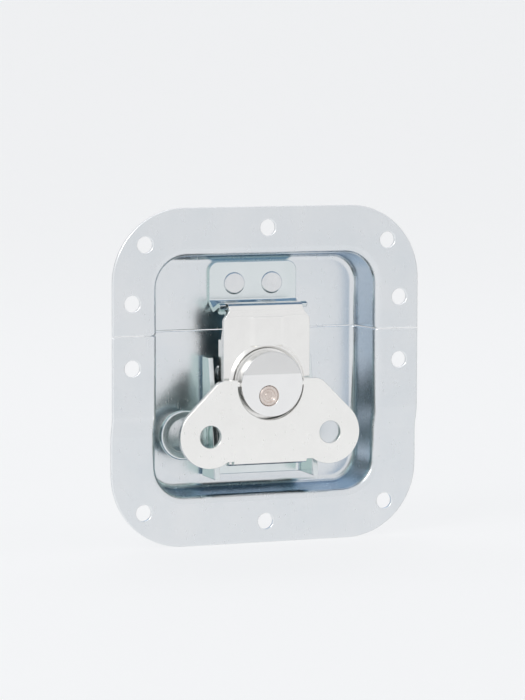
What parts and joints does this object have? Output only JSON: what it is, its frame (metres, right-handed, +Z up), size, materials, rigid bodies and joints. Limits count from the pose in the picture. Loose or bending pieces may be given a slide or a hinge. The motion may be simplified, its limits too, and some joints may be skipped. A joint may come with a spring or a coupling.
{
  "type": "butterfly latch",
  "caption": "Recessed two-part butterfly latch: a folding wing turns a drum that drives a sliding claw hooked over a keeper, set in a rounded dish with rivet holes and a padlock eye.",
  "frame": {"origin": "on the closing line between the two dishes, centre of the four side rivet holes, at the back of the flange, the face that seats on the panel", "axes": "+X to the right seen from the front, +Y into the case, +Z up from the lower dish to the keeper"},
  "size_m": [0.105, 0.0216, 0.1089],
  "materials": {
    "zinc_dish": "bright zinc plate, satin, bluish",
    "zinc_bracket": "bright zinc plate, satin",
    "nickel_claw": "satin plate, warm white",
    "nickel_wing": "satin plate, warm white",
    "nickel_cap": "satin plate, warm white",
    "rivet_steel": "flattened rivet heads",
    "crank_copper": "pinkish plate, clinched",
    "drum_steel": "turned steel, greyer",
    "spring_steel": "spring steel, dark"
  },
  "bodies": {
    "housing": {"upper_dish": "zinc_dish", "lower_dish": "zinc_dish", "keeper_plate": "zinc_bracket", "base_bracket": "zinc_bracket", "axle_pin": "drum_steel", "axle_sleeve": "drum_steel", "claw_spring_washer": "spring_steel", "keeper_rivet_left": "rivet_steel", "keeper_rivet_right": "rivet_steel", "bracket_rivet_upper_left": "rivet_steel", "bracket_rivet_upper_right": "rivet_steel", "bracket_rivet_lower_left": "rivet_steel", "bracket_rivet_lower_right": "rivet_steel"},
    "claw_body": {"claw": "nickel_claw"},
    "drum_body": {"drum": "drum_steel", "cap_disc": "nickel_cap", "crank_rivet": "crank_copper"},
    "wing_body": {"butterfly_wing": "nickel_wing"}
  },
  "joints": [
    {"name": "drum_turn", "type": "hinge", "parent": "housing", "child": "drum_body", "pos_m": [0, 0, -0.0164], "axis": [0, 1, 0], "range_deg": [0, 180]},
    {"name": "wing_fold", "type": "hinge", "parent": "drum_body", "child": "wing_body", "pos_m": [0, -0.0033, -0.0164], "axis": [-1, 0, 0], "range_deg": [0, 90]},
    {"name": "claw_slide", "type": "slide", "parent": "housing", "child": "claw_body", "axis": [0, 0, 1], "range_m": [0, 0.00746]}
  ],
  "couplings": [
    {"joint": "claw_slide", "follows": "drum_turn", "m_per_rad": 0.0023743}
  ]
}
